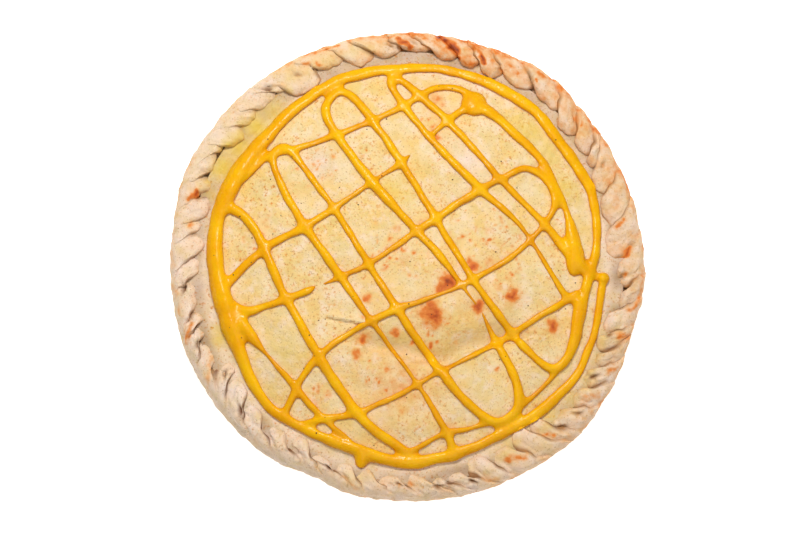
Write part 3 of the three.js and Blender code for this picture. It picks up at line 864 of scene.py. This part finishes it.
def add_pool(x, y, width, length, turn):
    """A place where the sauce ran together, as a flattened ball."""
    bpy.ops.mesh.primitive_uv_sphere_add(
        segments=32, ring_count=16, radius=MM,
        location=(x * MM, y * MM, 0), rotation=(0, 0, math.radians(turn)),
    )
    pool = bpy.context.object
    pool.scale = (length / 2, width / 2, POOL_HEIGHT)
    bpy.ops.object.transform_apply(location=True, rotation=True, scale=True)
    return pool


ring = [(*round_place(RING_START + i * RING_TURN, radius), width) for i, (radius, width) in enumerate(RING)]
bpy.ops.object.select_all(action="DESELECT")
beads = [add_bead(points) for points in [ring, *STRANDS]] + [add_pool(*pool) for pool in POOLS]
print("beads and pools:", len(beads), "with", sum(len(bead.data.vertices) for bead in beads), "points")

# %% Melt the beads into one skin
SAUCE_VOXEL = 0.9 * MM
SAUCE_TRIANGLES = 190000
WEB = 0.7 * MM  # how far the skin swells before it shrinks again
TIP_EDGE = 127  # radius from which the tips of the pleats can lie under the sauce
SAUCE_WAVE = 0.16  # millimetres that its surface waves


def apply_modifier(piece, kind, **settings):
    """Adds a modifier with its settings and applies it at once."""
    bpy.context.view_layer.objects.active = piece
    modifier = piece.modifiers.new(kind.lower(), kind)
    for name, value in settings.items():
        setattr(modifier, name, value)
    bpy.ops.object.modifier_apply(modifier=modifier.name)


def rest_on_pizza(sauce):
    """Lifts the flat skin onto the top sheet, and over the tips of the pleats where it reached them."""
    paint(sauce, "thickness", [vertex.co.z / MM for vertex in sauce.data.vertices])
    places = []
    for vertex in sauce.data.vertices:
        x, y, z = vertex.co / MM
        ground = sheet_height(x, y)
        if math.hypot(x, y) > TIP_EDGE:
            hit, place, _, _ = bottom_sheet.ray_cast(Vector((x * MM, y * MM, 0.1)), Vector((0, 0, -1)))
            ground = max(ground, place.z / MM if hit else 0)
        places.append(Vector((x, y, ground + z + SAUCE_WAVE * grain(x, y, z, 7) * ease(z, 0, 2))) * MM)
    for vertex, place in zip(sauce.data.vertices, places):
        vertex.co = place


def make_sauce(parts):
    """Melts beads and pools into one skin, webs its corners and lays it on the dough."""
    bpy.ops.object.select_all(action="DESELECT")
    for part in parts:
        part.select_set(True)
    sauce = parts[0]
    bpy.context.view_layer.objects.active = sauce
    bpy.ops.object.join()
    sauce.name = sauce.data.name = "cream_sauce"
    apply_modifier(sauce, "REMESH", mode="VOXEL", voxel_size=SAUCE_VOXEL)
    apply_modifier(sauce, "DISPLACE", strength=WEB, mid_level=0)
    apply_modifier(sauce, "REMESH", mode="VOXEL", voxel_size=SAUCE_VOXEL)
    apply_modifier(sauce, "SMOOTH", factor=0.5, iterations=4)
    apply_modifier(sauce, "DISPLACE", strength=-WEB, mid_level=0)
    apply_modifier(sauce, "SMOOTH", factor=0.5, iterations=6)
    rest_on_pizza(sauce)
    apply_modifier(sauce, "SMOOTH", factor=0.5, iterations=3)
    triangles = sum(len(face.vertices) - 2 for face in sauce.data.polygons)
    apply_modifier(sauce, "DECIMATE", ratio=min(1, SAUCE_TRIANGLES / triangles))
    merge_and_smooth(sauce)
    keep_inside(sauce)
    print("the sauce has", sum(len(face.vertices) - 2 for face in sauce.data.polygons), "triangles")
    return sauce


cream_sauce = make_sauce(beads)

# %% [markdown]
# ## Pepper
# Coarse pepper in the sauce shows as dark crumbs hardly a millimetre across. One crumb is modelled from an
# icosphere, flattened and made uneven. Copies of it go to the places seen in the picture and to some more,
# and each is dropped straight down until it lands on whatever lies there.

# %% Pepper specks
PEPPER_SEEN = [
    (-84, 81), (-13, 97), (-16, 58), (18, 79), (-67, -69), (-59, -111), (-127, 6), (-116, -42), (-110, 32),
    (-114, -7), (60, 112), (100, 84), (-92, 84), (-88, 20), (112, -12), (70, 66), (22, 120), (-26, 90),
]
PEPPER_MORE = 46
PEPPER_RADIUS = 126  # how far from the middle crumbs are strewn
SPECK_RADIUS = 0.45
SPECK_STRAY = 0.35  # how much the crumbs differ in size
SPECK_RAGGEDNESS = 0.3
SPECK_FLATNESS = 0.6


def landing(x, y):
    """The highest point of the pizza straight below a place, in metres."""
    start = Vector((x * MM, y * MM, 0.1))
    heights = []
    for piece in (cream_sauce, top_sheet, bottom_sheet):
        hit, place, _, _ = piece.ray_cast(start, Vector((0, 0, -1)))
        if hit:
            heights.append(place.z)
    return max(heights)


def add_speck(number, x, y):
    """One ragged crumb of pepper, dropped onto what lies below."""
    size = SPECK_RADIUS * (1 + SPECK_STRAY * uneven(number + 300)) * MM
    bpy.ops.mesh.primitive_ico_sphere_add(subdivisions=1, radius=size)
    speck = bpy.context.object
    for vertex in speck.data.vertices:
        vertex.co *= 1 + SPECK_RAGGEDNESS * uneven(number * 12 + vertex.index)
        vertex.co.z *= SPECK_FLATNESS
        vertex.co += Vector((x * MM, y * MM, landing(x, y)))
    return speck


places = list(PEPPER_SEEN)
for number in range(PEPPER_MORE):
    out = PEPPER_RADIUS * math.sqrt(0.5 + 0.5 * uneven(number + 500))
    places.append(round_place(180 * uneven(number + 700), out))
specks = [add_speck(number, *place) for number, place in enumerate(places)]
bpy.ops.object.select_all(action="DESELECT")
for speck in specks:
    speck.select_set(True)
bpy.context.view_layer.objects.active = specks[0]
bpy.ops.object.join()
pepper_specks = specks[0]
pepper_specks.name = pepper_specks.data.name = "pepper_specks"
keep_inside(pepper_specks)

# %% [markdown]
# ## Materials
# A picture could be wrapped round the pizza, but it would show its pixels close up. These materials are
# worked out from noise and from the painted spots instead. A few helpers keep the nodes readable: one adds
# a node, one mixes two colours, and one reads noise of a given breadth from the piece's own coordinates.

# %% Helpers for materials


def colour(*seen):
    """Red, green and blue as seen on a screen, from 0 to 255, turned into the numbers that shaders use."""
    return (*(((v / 255 + 0.055) / 1.055) ** 2.4 if v > 10 else v / 255 / 12.92 for v in seen), 1)


class Finish:
    """One material and the nodes in it."""

    def __init__(self, name):
        self.material = bpy.data.materials.new(name)
        self.material.use_nodes = True
        self.nodes = self.material.node_tree.nodes
        self.shader = self.nodes["Principled BSDF"]
        self.place = self.nodes.new("ShaderNodeTexCoord").outputs["Object"]

    def link(self, source, target):
        """Joins an output to an input."""
        self.material.node_tree.links.new(source, target)

    def feed(self, value, socket):
        """Gives a socket either a value or another node's output."""
        if isinstance(value, bpy.types.NodeSocket):
            self.link(value, socket)
        else:
            socket.default_value = value

    def noise(self, breadth, low=0.0, high=1.0, detail=2.0):
        """Noise whose lumps are so many millimetres broad, stretched so that low becomes 0 and high 1."""
        node = self.nodes.new("ShaderNodeTexNoise")
        self.link(self.place, node.inputs["Vector"])
        node.inputs["Scale"].default_value = 1 / (breadth * MM)
        node.inputs["Detail"].default_value = detail
        return self.stretch(node.outputs["Fac"], low, high)

    def stretch(self, value, low, high, to_low=0.0, to_high=1.0):
        """Stretches the values between low and high to another range."""
        node = self.nodes.new("ShaderNodeMapRange")
        self.feed(value, node.inputs["Value"])
        node.inputs["From Min"].default_value = low
        node.inputs["From Max"].default_value = high
        node.inputs["To Min"].default_value = to_low
        node.inputs["To Max"].default_value = to_high
        return node.outputs["Result"]

    def painted(self, name):
        """Reads what was painted on the points under that name."""
        node = self.nodes.new("ShaderNodeAttribute")
        node.attribute_name = name
        return node.outputs["Fac"]

    def reckon(self, kind, first, second, held=False):
        """One sum with two values, held between 0 and 1 if asked."""
        node = self.nodes.new("ShaderNodeMath")
        node.operation = kind
        node.use_clamp = held
        self.feed(first, node.inputs[0])
        self.feed(second, node.inputs[1])
        return node.outputs[0]

    def mix(self, share, first, second):
        """The first colour with a share of the second."""
        node = self.nodes.new("ShaderNodeMix")
        node.data_type = "RGBA"
        self.feed(share, node.inputs[0])
        self.feed(first, node.inputs[6])
        self.feed(second, node.inputs[7])
        return node.outputs[2]

    def ramp(self, value, stops):
        """The colour that a value from 0 to 1 stands for."""
        node = self.nodes.new("ShaderNodeValToRGB")
        self.feed(value, node.inputs[0])
        ends = node.color_ramp.elements
        while len(ends) < len(stops):
            ends.new(0.5)
        for end, (place, shade) in zip(ends, stops):
            end.position = place
            end.color = shade
        return node.outputs[0]

    def bump(self, height, depth, before=None):
        """Relief so many millimetres deep."""
        node = self.nodes.new("ShaderNodeBump")
        node.inputs["Strength"].default_value = 1
        node.inputs["Distance"].default_value = depth * MM
        self.link(height, node.inputs["Height"])
        if before:
            self.link(before, node.inputs["Normal"])
        return node.outputs["Normal"]


# %% [markdown]
# ## Baked dough
# Baked dough is a pale cream that varies softly, finely freckled with ochre. Toasting deepens it from straw
# through orange to brown, and it always has ragged edges, so noise is added to the painted spots before the
# ramp. Oil stains it yellow, and the same yellow is laid as painted shade in a few hollows of the top sheet.
# Painted shade darkens it in the creases, in the tucks and under the tips. Its skin is dull, with fine pits.

# %% The dough
PALE_PATCH = colour(230, 208, 186)
OILY_PATCH = colour(214, 188, 112)
FLOURY_PATCH = colour(242, 220, 202)
OCHRE_FLECK = colour(216, 140, 56)
DARK_DUST = colour(160, 112, 60)
# the yellow of the oil stains, also used for the painted olive shade on the top sheet
OIL_STAIN_AND_SHADE = colour(222, 190, 80)
# colour of the painted shade in creases, in tucks and under the tips
PAINTED_SHADE_BROWN = colour(116, 70, 40)
TOASTING = [  # how deep the toast is, and its colour there
    (0.0, colour(236, 196, 140)), (0.2, colour(230, 168, 96)), (0.42, colour(222, 130, 54)),
    (0.72, colour(196, 92, 32)), (1.0, colour(138, 58, 24)),
]


def dough_finish(name, light, warm, flecks):
    """Baked dough between a light and a warm colour, with so strong ochre flecks."""
    finish = Finish(name)
    base = finish.mix(finish.noise(14, 0.35, 0.65), light, warm)
    if name == "top_dough":
        base = finish.mix(finish.painted("pale"), base, PALE_PATCH)
    oily = finish.noise(9, 0.45, 0.7, detail=4.0)
    base = finish.mix(finish.reckon("MULTIPLY", oily, 0.45), base, OILY_PATCH)
    floury = finish.noise(6.5, 0.5, 0.72, detail=4.0)
    base = finish.mix(finish.reckon("MULTIPLY", floury, 0.6), base, FLOURY_PATCH)
    fleck = finish.noise(2.2, 0.55, 0.75)
    patchy = finish.noise(30, 0.4, 0.6)
    flecked = finish.reckon("MULTIPLY", finish.reckon("MULTIPLY", fleck, patchy), flecks)
    base = finish.mix(flecked, base, OCHRE_FLECK)
    dust = finish.noise(1.1, 0.6, 0.71)
    base = finish.mix(finish.reckon("MULTIPLY", dust, 0.6), base, DARK_DUST)
    # real oil stains together with some painted olive shade
    stain_and_shade = finish.reckon("MULTIPLY", finish.painted("stain_and_shade"), finish.noise(6, -0.2, 0.45), held=True)
    base = finish.mix(stain_and_shade, base, OIL_STAIN_AND_SHADE)
    # painted shade, read from the crease layer
    base = finish.mix(finish.painted("crease"), base, PAINTED_SHADE_BROWN)
    ragged = finish.stretch(finish.noise(4.5, 0.3, 0.7, detail=8.0), 0, 1, 0.5, 1.3)
    toast = finish.reckon("MULTIPLY", finish.painted("toast"), ragged, held=True)
    shade = finish.ramp(toast, TOASTING)
    base = finish.mix(finish.stretch(toast, 0.0, 0.4), base, shade)
    finish.link(base, finish.shader.inputs["Base Color"])
    rough = finish.stretch(finish.reckon("MAXIMUM", stain_and_shade, toast), 0, 1, 0.78, 0.5)
    finish.link(rough, finish.shader.inputs["Roughness"])
    finish.shader.inputs["Specular IOR Level"].default_value = 0.25
    finish.shader.inputs["Subsurface Weight"].default_value = 0.12
    finish.shader.inputs["Subsurface Radius"].default_value = (1.0, 0.6, 0.35)
    finish.shader.inputs["Subsurface Scale"].default_value = 2 * MM
    coarse = finish.bump(finish.noise(3.5, detail=4.0), 0.9)
    fine = finish.bump(finish.noise(1.2, detail=2.0), 0.25, coarse)
    finish.link(fine, finish.shader.inputs["Normal"])
    return finish.material


rim_dough = dough_finish("rim_dough", colour(234, 211, 192), colour(230, 201, 168), 0.5)
top_dough = dough_finish("top_dough", colour(234, 211, 165), colour(233, 197, 122), 1.0)
bottom_sheet.data.materials.append(rim_dough)
top_sheet.data.materials.append(top_dough)

# %% [markdown]
# ## Cream sauce and pepper
# The sauce is a warm strong yellow, glossy, and a little light passes through it. Towards its foot it is
# painted deeper in colour, a painted shade where the bead curves down to the dough, so its thickness was
# stored before it was laid on the dough. The pepper is nearly black and rough.

# %% The sauce and the pepper
sauce_finish = Finish("glossy_cream_sauce")
sauce_base = sauce_finish.mix(sauce_finish.noise(18, 0.35, 0.65), colour(243, 183, 4), colour(235, 164, 0))
# painted shade: the thinner the sauce, the more deep orange, darkest at its foot
sauce_foot_shade = sauce_finish.stretch(sauce_finish.painted("thickness"), 0.0, 3.2, 0.75, 0.0)
sauce_base = sauce_finish.mix(sauce_foot_shade, sauce_base, colour(206, 116, 0))
sauce_dust = sauce_finish.reckon("MULTIPLY", sauce_finish.noise(0.9, 0.7, 0.8), 0.35)
sauce_base = sauce_finish.mix(sauce_dust, sauce_base, colour(170, 96, 10))
sauce_finish.link(sauce_base, sauce_finish.shader.inputs["Base Color"])
sauce_gloss = sauce_finish.stretch(sauce_finish.noise(5), 0.3, 0.7, 0.2, 0.38)
sauce_finish.link(sauce_gloss, sauce_finish.shader.inputs["Roughness"])
sauce_finish.shader.inputs["Specular IOR Level"].default_value = 0.2
sauce_finish.shader.inputs["Subsurface Weight"].default_value = 0.15
sauce_finish.shader.inputs["Subsurface Radius"].default_value = (1.0, 0.5, 0.1)
sauce_finish.shader.inputs["Subsurface Scale"].default_value = 1.5 * MM
sauce_finish.link(sauce_finish.bump(sauce_finish.noise(2.6), 0.4), sauce_finish.shader.inputs["Normal"])
cream_sauce.data.materials.clear()
cream_sauce.data.materials.append(sauce_finish.material)

pepper_finish = Finish("ground_pepper")
pepper_base = pepper_finish.mix(pepper_finish.noise(0.4), colour(44, 24, 12), colour(96, 56, 26))
pepper_finish.link(pepper_base, pepper_finish.shader.inputs["Base Color"])
pepper_finish.shader.inputs["Roughness"].default_value = 0.8
pepper_specks.data.materials.append(pepper_finish.material)

# %% [markdown]
# ## Hand over
# Every piece rides on the pizza's one body, and all four stand for its one solid.

# %% Ride and replace
for piece in (bottom_sheet, top_sheet, cream_sauce, pepper_specks):
    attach(piece, "root")
    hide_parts("stuffed_pizza")

# %% [markdown]
# ## Floor and light
# The picture has a plain white ground. A white floor that glows a little gives that, with only a breath of
# shadow where the dough meets it. The main light stands beyond the top of the picture, a little to the
# left, so each lump is bright above and shaded below. It is small enough to draw the creases. A broad weak
# light from the other side and the world soften the shadows.

# %% Floor and light
FLOOR_SIDE = 6.0
FLOOR_GAP = 0.2 * MM  # keeps the floor from flickering through the flat underside
FLOOR_GLOW = 0.65
WORLD_STRENGTH = 0.25

bpy.ops.object.select_all(action="DESELECT")
bpy.ops.mesh.primitive_plane_add(size=FLOOR_SIDE, location=(0, 0, -FLOOR_GAP))
floor = bpy.context.object
floor.name = "floor"
floor_finish = Finish("white_floor")
floor_finish.shader.inputs["Base Color"].default_value = (0.9, 0.9, 0.9, 1)
floor_finish.shader.inputs["Roughness"].default_value = 0.9
floor_finish.shader.inputs["Emission Color"].default_value = (1, 1, 1, 1)
floor_finish.shader.inputs["Emission Strength"].default_value = FLOOR_GLOW
floor.data.materials.append(floor_finish.material)

world = bpy.data.worlds.new("studio")
world.use_nodes = True
background = world.node_tree.nodes["Background"]
background.inputs["Color"].default_value = (1, 1, 1, 1)
background.inputs["Strength"].default_value = WORLD_STRENGTH
bpy.context.scene.world = world


def add_light(name, place, size, power):
    """A square light that faces the pizza, with its side in metres and its power in watts."""
    place = Vector(place)
    bpy.ops.object.light_add(type="AREA", location=place, rotation=place.to_track_quat("Z", "Y").to_euler())
    light = bpy.context.object
    light.name = name
    light.data.size = size
    light.data.energy = power
    return light


add_light("key_light", (-0.12, 0.68, 1.3), 0.3, 16.8)
add_light("fill_light", (0.4, -0.7, 1.4), 1.6, 7.5)
bpy.context.scene.view_settings.view_transform = "Standard"
